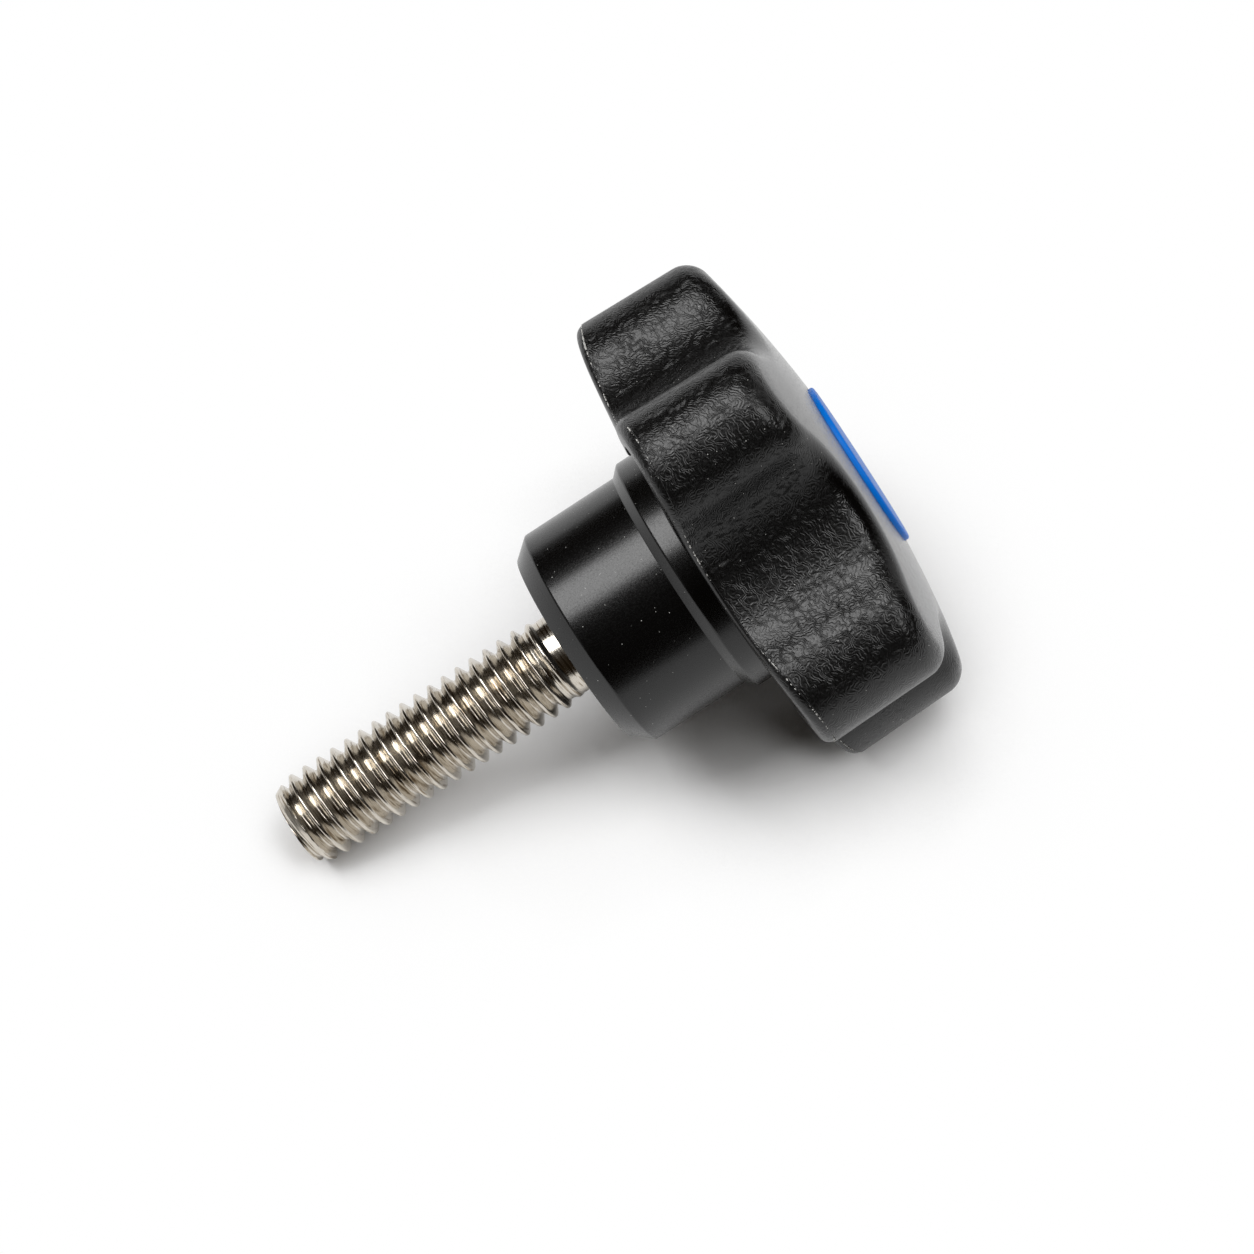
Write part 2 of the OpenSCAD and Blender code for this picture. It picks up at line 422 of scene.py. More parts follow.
# %% The black plastic
BLACK_DEEP, BLACK_PALE = (0.0007, 0.0007, 0.0008), (0.0014, 0.0014, 0.0016)
SPECK_COLOUR = (0.5, 0.5, 0.48)
BLACK_ROUGH = (0.21, 0.29)
HEAD_STARTS = (UNDER_Z + 0.1, UNDER_Z + 0.9)
HEAD_DULLER = 1.35  # roughness of the head against the hub
CROWN_STARTS = (CROWN_Z - 2.2, CROWN_Z - 1.2)
CROWN_GLOSSIER = 0.45
CROWN_WORMS_END = (CROWN_Z - 2.0, CROWN_Z - 1.2)
CROWN_WORMS = 0.15
CROWN_FINE_STARTS = (CROWN_Z - 2.0, CROWN_Z - 1.0)
WALL_FINE = 0.12
UNEVEN_STRENGTH, UNEVEN_DEPTH = 0.08, 0.1
FINE_DEPTH = 0.022
WORM_DEPTH = 0.015


def black_plastic():
    material, tree, shader = new_material("black_plastic")
    calc, ranged = partial(math_node, tree), partial(map_range, tree)
    spot = axis_coordinates(tree)
    height = parts_of(tree, spot)["Z"]
    fine = noise(tree, spot, 9.0, 2.0, 0.6)

    uneven = bump(tree, noise(tree, spot, 0.35, 1.0), UNEVEN_STRENGTH, UNEVEN_DEPTH)
    fine_strength = ranged(height, *CROWN_FINE_STARTS, WALL_FINE, 1.0)
    fine_bump = bump(tree, fine, fine_strength, FINE_DEPTH, uneven)
    on_head = ranged(height, *HEAD_STARTS)
    on_wall = ranged(height, *CROWN_WORMS_END, 1.0, CROWN_WORMS)
    patches = ranged(noise(tree, spot, 0.7, 1.0), NOISE_LOW, NOISE_HIGH, 0.5, 1.0)
    worms = calc("MULTIPLY", calc("MULTIPLY", on_head, on_wall), patches)
    grained = bump(tree, worm_grain(tree, spot), worms, WORM_DEPTH, fine_bump)

    tone = mix_colours(tree, noise(tree, spot, 0.5, 2.0), BLACK_DEEP, BLACK_PALE)
    tone = mix_colours(tree, pale_specks(tree, spot), tone, SPECK_COLOUR)
    crown = ranged(height, *CROWN_STARTS, 1.0, CROWN_GLOSSIER)
    wall = ranged(height, *HEAD_STARTS, 1.0, HEAD_DULLER)
    rough = ranged(fine, NOISE_LOW, NOISE_HIGH, *BLACK_ROUGH)
    rough = calc("MULTIPLY", rough, calc("MULTIPLY", wall, crown))
    surface(tree, shader, Base_Color=tone, Roughness=rough, Normal=grained)
    shader.inputs["IOR"].default_value = 1.5
    return material


black = black_plastic()
print("material", black.name, "nodes:", len(black.node_tree.nodes))

# %% [markdown]
# The stud is rolled steel with a bright, slightly warm plating. Most of its look comes from
# what it mirrors: the lamps, the white floor and the dark room. Rolling leaves fine lines that
# run along the thread. Darker brown streaks are painted along them as painted shade, which
# deepens the dark reflections in the grooves. Lines and streaks are a noise that is squeezed
# across the groove and drawn out along it, in screw turns, so it follows the helix. A second,
# slower noise varies the tone and gives the shallow dents of handling.

# %% The plated steel
PITCH = 1.0
LINES_ACROSS = 9.0  # how much finer the noise is across the groove
LINES_ALONG = 0.45
STEEL_DULL, STEEL_BRIGHT = (0.50, 0.46, 0.40), (0.72, 0.675, 0.60)
# The colour of the painted shade: dark brown streaks along the thread's lines
PAINTED_SHADE_STREAK_COLOUR = (0.25, 0.2, 0.14)
STREAK_FROM, STREAK_TO = 0.34, 0.46
STEEL_ROUGH = (0.15, 0.25)
DENT_STRENGTH, DENT_DEPTH = 0.3, 0.06
LINE_STRENGTH, LINE_DEPTH = 0.4, 0.03


def plated_steel():
    material, tree, shader = new_material("plated_steel")
    calc = partial(math_node, tree)
    spot = axis_coordinates(tree)
    x, y, z = parts_of(tree, spot)
    turns = screw_turns(tree, x, y, z, PITCH)
    along_helix = vector_of(
        tree,
        X=calc("MULTIPLY", calc("FRACT", calc("ADD", turns, 0.5)), LINES_ACROSS),
        Y=calc("MULTIPLY", x, LINES_ALONG),
        Z=calc("ADD", calc("MULTIPLY", y, LINES_ALONG), z),
    )
    lines = noise(tree, along_helix, 1.0, 2.0, 0.6)
    cloud = noise(tree, spot, 1.1, 3.0)
    # Painted shade: where the lines' noise is low, the steel is painted dark brown
    outside_painted_shade = map_range(tree, lines, STREAK_FROM, STREAK_TO)
    tone = mix_colours(tree, cloud, STEEL_DULL, STEEL_BRIGHT)
    tone = mix_colours(tree, outside_painted_shade, PAINTED_SHADE_STREAK_COLOUR, tone)
    rough = map_range(tree, lines, NOISE_LOW, NOISE_HIGH, *STEEL_ROUGH)
    dents = bump(tree, cloud, DENT_STRENGTH, DENT_DEPTH)
    lined = bump(tree, lines, LINE_STRENGTH, LINE_DEPTH, dents)
    surface(tree, shader, Base_Color=tone, Roughness=rough, Normal=lined)
    shader.inputs["Metallic"].default_value = 1.0
    return material


steel = plated_steel()
print("material", steel.name, "nodes:", len(steel.node_tree.nodes))

# %% [markdown]
# The cap is a blue plastic, moulded separately and pushed in. It has a soft satin skin with a
# fine grain and hardly any gloss, so its colour does most of the work and varies only a little.

# %% The blue plastic
BLUE_DEEP, BLUE_PALE = (0.0005, 0.2, 0.86), (0.0008, 0.25, 0.97)
BLUE_ROUGH = (0.34, 0.46)
BLUE_GRAIN_STRENGTH, BLUE_GRAIN_DEPTH = 0.4, 0.02
BLUE_SPECULAR = 0.15


def blue_plastic():
    material, tree, shader = new_material("blue_plastic")
    spot = axis_coordinates(tree)
    tone = mix_colours(tree, noise(tree, spot, 0.9, 2.0), BLUE_DEEP, BLUE_PALE)
    grain = noise(tree, spot, 7.0, 3.0, 0.6)
    rough = map_range(tree, grain, NOISE_LOW, NOISE_HIGH, *BLUE_ROUGH)
    satin = bump(tree, grain, BLUE_GRAIN_STRENGTH, BLUE_GRAIN_DEPTH)
    surface(tree, shader, Base_Color=tone, Roughness=rough, Normal=satin)
    shader.inputs["Specular IOR Level"].default_value = BLUE_SPECULAR
    return material


blue = blue_plastic()
print("material", blue.name, "nodes:", len(blue.node_tree.nodes))

# %% [markdown]
# The knob's body. Its outline repeats five times, so one fifth of the moulding is enough: it is
# drawn as a stack of rings, from the hub's face out along the hub, over the collar, into the
# recess, round the lower rim, up the wall, over the crown and down into the seat of the cap. A
# Geometry Nodes tree then repeats that fifth round the axis and welds it. The alternative,
# cutting the form from cylinders with booleans, leaves hard creases where the real moulding is
# rounded. First comes the outline itself, at any inset from the widest one.

# %% One fifth of the outline
HOLLOW_STEPS = 12
LOBE_STEPS = 48


def blend(low, high, steps):
    return [low + (high - low) * i / steps for i in range(steps)]


def arc_points(centre, radius, angles):
    return [centre + radius * Vector((math.cos(a), math.sin(a))) for a in angles]


def outline(inset):
    middle = math.pi - half_pitch
    last = math.pi - touch
    before = hollow_c * Vector((math.cos(half_pitch), -math.sin(half_pitch)))
    after = hollow_c * Vector((math.cos(half_pitch), math.sin(half_pitch)))
    arc = arc_points(before, hollow_r + inset, blend(middle, last, HOLLOW_STEPS))
    arc += arc_points(Vector((lobe_c, 0)), LOBE_R - inset, blend(-touch, touch, LOBE_STEPS))
    arc += arc_points(after, hollow_r + inset, blend(-last, -middle, HOLLOW_STEPS) + [-middle])
    return arc


directions = [point.normalized() for point in outline(0)]
columns = len(directions)
print("columns in one fifth:", columns)

# %% [markdown]
# Every corner of a moulding is a little rounded, and that small radius is what catches the
# light. This helper takes the corners of a section and swaps each one for a short arc. A Bevel
# modifier could do it too, but it gives every corner the same radius unless it is told more.

# %% Rounded corners for a section
CORNER_STEPS = 4


def rounded(corners, radii):
    section = [Vector(corners[0])]
    for before, corner, after, radius in zip(corners, corners[1:], corners[2:], radii):
        here = Vector(corner)
        back = (Vector(before) - here).normalized()
        ahead = (Vector(after) - here).normalized()
        half = back.angle(ahead) / 2
        reach = radius / math.tan(half)
        centre = here + (back + ahead).normalized() * radius / math.sin(half)
        start = here + back * reach - centre
        end = here + ahead * reach - centre
        for i in range(CORNER_STEPS + 1):
            spoke = start.lerp(end, i / CORNER_STEPS).normalized() * radius
            section.append(centre + spoke)
    section.append(Vector(corners[-1]))
    return section


print("points to a rounded corner:", CORNER_STEPS + 1)

# %% [markdown]
# The hub and the seat of the cap are round, so each is a section with rounded corners. The
# hub's end face has a wide chamfer, and a small relief round the stud where the steel comes
# out. Halfway along, the hub steps up to the collar. The seat goes down inside the crown to a
# ledge, and from there the core hole takes the skirt of the cap.

# %% Sections of the hub and of the seat
HUB_R = 7.25
HUB_CHAMFER = 1.0
HUB_CHAMFER_L = 1.2
STEP_Z = 7.5
RELIEF_R = 3.15
RELIEF_H = 0.3
CORE_R = 3.8
CORE_H = 4.0
SHARP_R = 0.05
CORNER_R = 0.12
SOFT_R = 0.24
ROOT_R = 0.2

hub_section = rounded(
    [
        (RELIEF_R, RELIEF_H),
        (RELIEF_R, 0),
        (HUB_R - HUB_CHAMFER, 0),
        (HUB_R, HUB_CHAMFER_L),
        (HUB_R, STEP_Z),
        (COLLAR_R, STEP_Z + COLLAR_R - HUB_R),
        (COLLAR_R, recess_z),
        (inner_r, recess_z),
    ],
    [SHARP_R, CORNER_R, SOFT_R, SHARP_R, SOFT_R, ROOT_R],
)
seat_section = rounded(
    [
        (rim_r, rim_z),
        (SEAT_R, rim_z),
        (SEAT_R, seat_z),
        (CORE_R, seat_z),
        (CORE_R, seat_z - CORE_H),
    ],
    [CORNER_R, SHARP_R, SHARP_R],
)
print("points in the hub's and the seat's section:", len(hub_section), len(seat_section))

# %% [markdown]
# A ring is a row of points, one for each column. There are four ways to draw one: a circle, the
# lobed outline at a height that follows the underside or the crown, the outline at a height
# between two such curves, and a ring that is on its way from the outline to a circle.

# %% Ways to draw a ring


def circle_ring(r, z):
    return [(d.x * r, d.y * r, z) for d in directions]


def lobed_ring(inset, base, lift):
    return [(p.x, p.y, base(p.length) + lift) for p in outline(inset)]


def blended_ring(inset, low, high, share, lift=0.0):
    ring = []
    for p in outline(inset):
        z = (1 - share) * low(p.length) + share * high(p.length) + lift
        ring.append((p.x, p.y, z))
    return ring


def spread_ring(inset, share, r, base):
    ring = []
    for p in outline(inset):
        at = r + share * (p.length - r)
        ring.append((p.x * at / p.length, p.y * at / p.length, base(at)))
    return ring


def recess_at(r):
    return recess_z


print("points in a ring:", len(circle_ring(HEAD_R, 0)))

# %% [markdown]
# The lower half of the mould gives the hub, the recess inside the rim and the rounded lower
# rim, up to the parting line that runs round the lobes where the two halves met. It is a hair
# smaller than the upper half, which leaves a tiny step, and a thin ragged flash stands on the
# line. The points of the flash will carry a number, which the tree uses to make it ragged.

# %% Rings of the lower half
RIM_WALL = 1.6
INNER_EDGE = 0.2
BOTTOM_ROUND = 0.6
PARTING_STEP = 0.09
FLASH_H = 0.03
FLASH_W = 0.05
RECESS_STEPS = 3
EDGE_STEPS = 4
BOTTOM_STEPS = 8

rings = [circle_ring(0, RELIEF_H)]
rings += [circle_ring(p.x, p.y) for p in hub_section[:-1]]
for i in range(RECESS_STEPS):
    rings.append(spread_ring(RIM_WALL, i / RECESS_STEPS, inner_r, recess_at))
rings.append(lobed_ring(RIM_WALL, recess_at, 0))
for i in range(EDGE_STEPS + 1):
    a = quarter * i / EDGE_STEPS
    inset = RIM_WALL - INNER_EDGE * (1 - math.cos(a))
    rings.append(lobed_ring(inset, under_at, INNER_EDGE * (1 - math.sin(a))))
for i in range(BOTTOM_STEPS + 1):
    a = quarter * i / BOTTOM_STEPS
    inset = PARTING_STEP + (BOTTOM_ROUND - PARTING_STEP) * (1 - math.sin(a))
    share = 1 - math.cos(a)
    rings.append(blended_ring(inset, under_at, parting_at, share, -FLASH_W * share))
flash_ring = len(rings)
rings.append(lobed_ring(FLASH_H, parting_at, -FLASH_W / 2))
print("rings up to the flash:", flash_ring)

# %% [markdown]
# The upper half gives the wall, which leans in a little so that the moulding leaves its tool,
# then the wide round of the top edge, the domed crown and the seat of the cap. On the crown the
# rings run from the lobed edge to the round rim of the seat, so no face is long or twisted.

# %% Rings of the upper half
DRAFT = math.radians(2.25)
TOP_ROUND = 1.3
WALL_STEPS = 10
TOP_STEPS = 10
SPREAD_STEPS = 8

wall_h = crown_at(HEAD_R) - TOP_ROUND - parting_at(HEAD_R)
wall_inset = wall_h * math.tan(DRAFT)
top_inset = wall_inset + TOP_ROUND


def wall_top_at(r):
    return crown_at(r) - TOP_ROUND


for i in range(WALL_STEPS):
    share = i / WALL_STEPS
    inset = FLASH_H + (wall_inset - FLASH_H) * share
    rings.append(blended_ring(inset, parting_at, wall_top_at, share))
for i in range(TOP_STEPS + 1):
    a = quarter * i / TOP_STEPS
    inset = wall_inset + TOP_ROUND * (1 - math.cos(a))
    rings.append(lobed_ring(inset, crown_at, -TOP_ROUND * (1 - math.sin(a))))
for i in range(1, SPREAD_STEPS):
    rings.append(spread_ring(top_inset, 1 - i / SPREAD_STEPS, rim_r, crown_at))
rings += [circle_ring(p.x, p.y) for p in seat_section]
rings.append(circle_ring(0, seat_z - CORE_H))
print("rings in all:", len(rings), "wall, mm:", round(wall_h, 2))

# %% [markdown]
# The rings become one mesh: each four neighbours, two on one ring and two on the next, make a
# face. The first and the last ring have no radius, so they close the hub's relief and the
# bottom of the core hole, and the merging of doubles turns each into one point on the axis.

# %% One fifth as a mesh
points = [point for ring in rings for point in ring]
faces = [
    (i * columns + j, i * columns + j + 1, (i + 1) * columns + j + 1, (i + 1) * columns + j)
    for i in range(len(rings) - 1)
    for j in range(columns - 1)
]
knob = as_object("knob", points, faces)
flash = knob.data.attributes.new("flash", "FLOAT", "POINT")
for j in range(columns):
    flash.data[flash_ring * columns + j].value = 1.0
print("one fifth, points and faces:", len(points), len(faces))

# %% [markdown]
# The tree that repeats a sector. It makes as many points as there are lobes, turns a copy of
# the sector about the axis on each one, realizes and welds the copies, and then moves the
# points that carry the flash number out and in by a fixed noise. An Array modifier could turn
# copies too, but it needs a helper object to turn about and can't make the flash ragged.

# %% Tree: repeat a sector round the axis
WELD_MM = 0.0005
NOISE_SWING = 4.0  # brings a noise, less its middle, to about one either way


def turned_copies(tree, given):
    calc, add, link = partial(math_node, tree), tree.nodes.new, tree.links.new
    spots = add("GeometryNodeMeshLine")
    spots.inputs["Offset"].default_value = (0, 0, 0)
    link(given["Copies"], spots.inputs["Count"])
    index = add("GeometryNodeInputIndex").outputs[0]
    step = calc("DIVIDE", 2 * math.pi, given["Copies"])
    angle = calc("ADD", calc("MULTIPLY", index, step), given["First Angle"])
    copies = add("GeometryNodeInstanceOnPoints")
    link(spots.outputs["Mesh"], copies.inputs["Points"])
    link(given["Geometry"], copies.inputs["Instance"])
    link(vector_of(tree, Z=angle), copies.inputs["Rotation"])
    real = add("GeometryNodeRealizeInstances")
    link(copies.outputs[0], real.inputs[0])
    weld = add("GeometryNodeMergeByDistance")
    weld.inputs["Distance"].default_value = WELD_MM
    link(real.outputs[0], weld.inputs["Geometry"])
    return weld.outputs[0]


def ragged_flash(tree, given, geometry):
    calc, add, link = partial(math_node, tree), tree.nodes.new, tree.links.new
    shifted = add("ShaderNodeVectorMath")
    link(add("GeometryNodeInputPosition").outputs[0], shifted.inputs[0])
    link(given["Seed"], shifted.inputs[1])
    ragged = add("ShaderNodeTexNoise")
    ragged.inputs["Detail"].default_value = 3.0
    link(shifted.outputs[0], ragged.inputs["Vector"])
    link(given["Flash Scale"], ragged.inputs["Scale"])
    weight = add("GeometryNodeInputNamedAttribute")
    weight.inputs["Name"].default_value = "flash"
    swing = calc("MULTIPLY", calc("SUBTRACT", ragged.outputs["Fac"], 0.5), NOISE_SWING)
    reach = calc("MULTIPLY", calc("MULTIPLY", swing, weight.outputs[0]), given["Flash Height"])
    flat = add("ShaderNodeVectorMath")
    flat.operation = "MULTIPLY"
    flat.inputs[1].default_value = (1, 1, 0)
    link(add("GeometryNodeInputNormal").outputs[0], flat.inputs[0])
    offset = add("ShaderNodeVectorMath")
    offset.operation = "SCALE"
    link(flat.outputs[0], offset.inputs[0])
    link(reach, offset.inputs["Scale"])
    moved = add("GeometryNodeSetPosition")
    link(geometry, moved.inputs["Geometry"])
    link(offset.outputs[0], moved.inputs["Offset"])
    return moved.outputs[0]


def repeat_tree(material):
    sizes = {"Copies": "Int", "First Angle": "Float", "Flash Height": "Float"}
    sizes.update({"Flash Scale": "Float", "Seed": "Float"})
    tree, given, end = new_tree("repeat_round_axis", sizes)
    welded = turned_copies(tree, given)
    end_tree(tree, ragged_flash(tree, given, welded), material, end)
    return tree


repeat = repeat_tree(black)
around = {"Copies": LOBES, "First Angle": half_pitch, "Flash Scale": 1.6, "Seed": 7.0}
hang_tree(knob, repeat, {**around, "Flash Height": FLASH_H / 2})
apply_modifiers(knob)
face_outwards(knob)

# %% [markdown]
# The underside is cored out with one pocket in each lobe, so that the plastic cools evenly,
# and the stud's shank and hexagon fill a cavity of their own. All are cut with the Manifold
# boolean, which is exact on closed meshes. The pocket cutter, a rounded slot that points along
# its lobe, is drawn once and repeated by the same tree as the lobes.

# %% Cutters for the pockets and the stud
POCKET_W = 3.8
POCKET_H = 5.0
POCKET_LEDGE = 0.4
COLLAR_LEDGE = 1.0
SHANK_R = 2.575
ANCHOR_AF = 9.4  # the hexagon, across its flats
ANCHOR_Z = 5.0
ANCHOR_H = 4.0
OVERCUT = 1.0
SLOT_STEPS = 24
SHANK_STEPS = 96


def prism(name, ring, low, high):
    count = len(ring)
    points = [(x, y, z) for z in (low, high) for x, y in ring]
    faces = [(j, (j + 1) % count, count + (j + 1) % count, count + j) for j in range(count)]
    faces += [tuple(range(count))[::-1], tuple(range(count, 2 * count))]
    return as_object(name, points, faces)


def ring_points(radius, count, centre=0.0, first=0.0, last=2 * math.pi):
    angles = blend(first, last, count)
    return [(centre + radius * math.cos(a), radius * math.sin(a)) for a in angles]


slot_r = POCKET_W / 2
slot_from = COLLAR_R + COLLAR_LEDGE + slot_r
slot_to = HEAD_R - RIM_WALL - POCKET_LEDGE - slot_r
slot_ring = ring_points(slot_r, SLOT_STEPS, slot_to, -quarter, quarter) + [(slot_to, slot_r)]
slot_ring += ring_points(slot_r, SLOT_STEPS, slot_from, quarter, 3 * quarter)
slot_ring.append((slot_from, -slot_r))
pockets = prism("pockets", slot_ring, recess_z - OVERCUT, recess_z + POCKET_H)
hang_tree(pockets, repeat, {**around, "Flash Height": 0.0})
apply_modifiers(pockets)

hexagon = ring_points(ANCHOR_AF / 2 / math.cos(math.pi / 6), 6)
shank_cut = prism("shank_cut", ring_points(SHANK_R, SHANK_STEPS), 0, ANCHOR_Z + OVERCUT)
anchor_cut = prism("anchor_cut", hexagon, ANCHOR_Z, ANCHOR_Z + ANCHOR_H)
print("pocket, mm long:", round(slot_to - slot_from + POCKET_W, 2))

# %% [markdown]
# With its cavities cut, the knob is finished: its faces are turned outwards once more, it is
# laid down, and it takes the place of the plain solid.

# %% The finished knob


def combine(piece, other, operation):
    modifier = piece.modifiers.new(operation.lower(), "BOOLEAN")
    modifier.operation = operation
    modifier.solver = "MANIFOLD"
    modifier.object = other
    apply_modifiers(piece)
    bpy.data.objects.remove(other)


for cutter in (pockets, shank_cut, anchor_cut):
    face_outwards(cutter)
    combine(knob, cutter, "DIFFERENCE")
face_outwards(knob)
lay_piece(knob, "knob_body", black)

# %% [markdown]
# Along the parting line the flash was trimmed by hand, which leaves pale nicks and a few fine
# whiskers. A tree walks along the line, drops a thin sliver on many of its points and turns and
# stretches each one by a random number with a fixed seed. A slow noise decides where they are
# dense. Drawing them one by one would take hundreds of lines, and a texture would be too coarse
# for so thin a mark.

# %% Tree: slivers along a line
SLIVER_SIDES = 5
SLIVER_RINGS = 4
CHANCE = (0.0, 0.5)
THICKNESS_RANGE = (0.25, 1.0)
LENGTH_RANGE = (0.05, 0.5)
TILT_LOW, TILT_HIGH = (-0.15, -0.15, 0.0), (0.15, 0.15, 1.0)


def random_number(tree, seed, low, high, kind="FLOAT"):
    node = tree.nodes.new("FunctionNodeRandomValue")
    node.data_type = kind
    sockets = {slot.name: slot for slot in node.inputs if slot.enabled}
    sockets["Min"].default_value = low
    sockets["Max"].default_value = high
    tree.links.new(seed, sockets["Seed"])
    return next(slot for slot in node.outputs if slot.enabled)


def sliver_tree(material):
    sizes = {"Count": "Int", "Length": "Float", "Thickness": "Float"}
    sizes.update({"Patch Size": "Float", "Share": "Float", "Seed": "Int"})
    tree, given, end = new_tree("slivers_along_line", sizes)
    calc, add, link = partial(math_node, tree), tree.nodes.new, tree.links.new
    draw = partial(random_number, tree, given["Seed"])
    line = add("GeometryNodeMeshToCurve")
    link(given["Geometry"], line.inputs["Mesh"])
    spots = add("GeometryNodeCurveToPoints")
    spots.mode = "COUNT"
    link(line.outputs[0], spots.inputs["Curve"])
    link(given["Count"], spots.inputs["Count"])
    sliver = add("GeometryNodeMeshUVSphere")
    sliver.inputs["Segments"].default_value = SLIVER_SIDES
    sliver.inputs["Rings"].default_value = SLIVER_RINGS

    patchy = add("ShaderNodeTexNoise")
    link(calc("DIVIDE", 1.0, given["Patch Size"]), patchy.inputs["Scale"])
    score = calc("ADD", patchy.outputs["Fac"], draw(*CHANCE))
    kept = calc("LESS_THAN", score, given["Share"])
    thick = calc("MULTIPLY", draw(*THICKNESS_RANGE), given["Thickness"])
    length = calc("MULTIPLY", draw(*LENGTH_RANGE), given["Length"])
    turn = add("FunctionNodeRotateRotation")
    link(spots.outputs["Rotation"], turn.inputs["Rotation"])
    link(draw(TILT_LOW, TILT_HIGH, "FLOAT_VECTOR"), turn.inputs["Rotate By"])

    copies = add("GeometryNodeInstanceOnPoints")
    link(spots.outputs["Points"], copies.inputs["Points"])
    link(kept, copies.inputs["Selection"])
    link(sliver.outputs["Mesh"], copies.inputs["Instance"])
    link(turn.outputs[0], copies.inputs["Rotation"])
    link(vector_of(tree, X=thick, Y=thick, Z=length), copies.inputs["Scale"])
    end_tree(tree, copies.outputs[0], material, end)
    return tree


print("triangles of one sliver:", 2 * SLIVER_SIDES * (SLIVER_RINGS - 1))

# %% [markdown]
# Stretched plastic turns pale, so the nicks have a light grey material of their own. They sit
# just inside the widest outline and just under the flash, which keeps them in the knob's own
# reach: only the torn edges of the longer ones stand out of the wall.

# %% Nicks on the parting line
NICKS = 1200
NICK_L = 0.7
NICK_R = 0.1
NICK_INSET = 0.13
NICK_DROP = 0.8 * NICK_R
NICK_PATCH = 3.0
NICK_SHARE = 0.71
NICK_SEED = 11
PALE_LOW, PALE_HIGH = (0.3, 0.3, 0.29), (0.85, 0.84, 0.8)
PALE_ROUGH = (0.35, 0.6)


def pale_plastic():
    material, tree, shader = new_material("pale_flash")
    spot = axis_coordinates(tree)
    tone = mix_colours(tree, noise(tree, spot, 3.0, 2.0), PALE_LOW, PALE_HIGH)
    rough = map_range(tree, noise(tree, spot, 8.0), NOISE_LOW, NOISE_HIGH, *PALE_ROUGH)
    surface(tree, shader, Base_Color=tone, Roughness=rough)
    return material


line_points = []
for k in range(LOBES):
    turn_lobe = Matrix.Rotation((2 * k + 1) * half_pitch, 2)
    for p in outline(NICK_INSET)[:-1]:
        q = turn_lobe @ p
        line_points.append((q.x, q.y, parting_at(p.length) - NICK_DROP))
count = len(line_points)
line_edges = [(i, (i + 1) % count) for i in range(count)]
nicks = as_object("parting_nicks", line_points, [], line_edges)
flash_grey = pale_plastic()
nick_sizes = {"Count": NICKS, "Length": NICK_L, "Thickness": NICK_R}
nick_choice = {"Patch Size": NICK_PATCH, "Share": NICK_SHARE, "Seed": NICK_SEED}
hang_tree(nicks, sliver_tree(flash_grey), {**nick_sizes, **nick_choice})
apply_modifiers(nicks)
face_outwards(nicks)
lay_piece(nicks, "knob_body", flash_grey)

# %% [markdown]
# The stud. A thread is a rule: at any point, the depth of the groove depends only on how far
# the height along the axis is ahead of the angle round it. So a plain closed cylinder with
# many rings becomes a threaded stud when a tree sets the radius of each of its points. A Screw
# modifier would make a helix too, but not its runout. The first half of the rule is the groove:
# flanks at thirty degrees from a narrow flat crest, as rolling leaves it, to a rounded root. A
# slow noise shifts the turns by a few hundredths, because a rolled thread is never quite even.

# %% The groove of the thread
FLANK = math.radians(30)
CREST_FLAT = 1 / 13  # half of the flat crest, in pitches
CREST_SOFT = 0.13
ROOT_SOFT = 0.12
WOBBLE_SCALE = 1.3


def groove_radius(tree, given, x, y, z):
    calc = partial(math_node, tree)
    wobble = tree.nodes.new("ShaderNodeTexNoise")
    wobble.inputs["Scale"].default_value = WOBBLE_SCALE
    wobble.inputs["Detail"].default_value = 1.0
    wave = calc("MULTIPLY", calc("SUBTRACT", wobble.outputs["Fac"], 0.5), given["Unevenness"])
    turns = calc("ADD", screw_turns(tree, x, y, z, given["Pitch"]), wave)
    share = calc("FRACT", calc("ADD", turns, given["Phase"]))
    off_crest = calc("ABSOLUTE", calc("SUBTRACT", share, 0.5))
    from_crest = calc("MULTIPLY", off_crest, given["Pitch"])
    flat = calc("MULTIPLY", given["Pitch"], CREST_FLAT)
    drop = calc("MULTIPLY", calc("SUBTRACT", from_crest, flat), 1 / math.tan(FLANK))
    flank = calc("SUBTRACT", given["Crest Radius"], drop)
    crest_soft = calc("MULTIPLY", given["Pitch"], CREST_SOFT)
    return calc("SMOOTH_MIN", flank, given["Crest Radius"], crest_soft)


print("flat crest, mm wide:", round(2 * CREST_FLAT * PITCH, 3))

# %% [markdown]
# The second half of the rule is the two ends. Towards the tip the radius is held under a cone,
# which is the chamfer that helps the screw into its hole. Towards the hub the root climbs to
# the radius of the bare shank and the crest sinks to it, because the rolls lift off there.

# %% Tree: a threaded stud


def root_and_crest(tree, given, z, radius):
    calc = partial(math_node, tree)
    ahead = calc("ADD", calc("ADD", z, given["Bare Length"]), given["Fade Length"])
    fade = calc("DIVIDE", ahead, given["Fade Length"], clamp=True)
    lift = calc("SUBTRACT", given["Shank Radius"], given["Root Radius"])
    root_radius = calc("ADD", given["Root Radius"], calc("MULTIPLY", lift, fade))
    root_soft = calc("MULTIPLY", given["Pitch"], ROOT_SOFT)
    return calc("SMOOTH_MAX", radius, root_radius, root_soft)


def under_tip_cone(tree, given, z, radius):
    calc = partial(math_node, tree)
    to_tip = calc("ADD", z, given["Length"])
    narrowing = calc("SUBTRACT", given["Crest Radius"], given["Tip Radius"])
    slope = calc("DIVIDE", narrowing, given["Tip Length"])
    cone = calc("ADD", given["Tip Radius"], calc("MULTIPLY", to_tip, slope))
    return calc("MINIMUM", radius, cone)


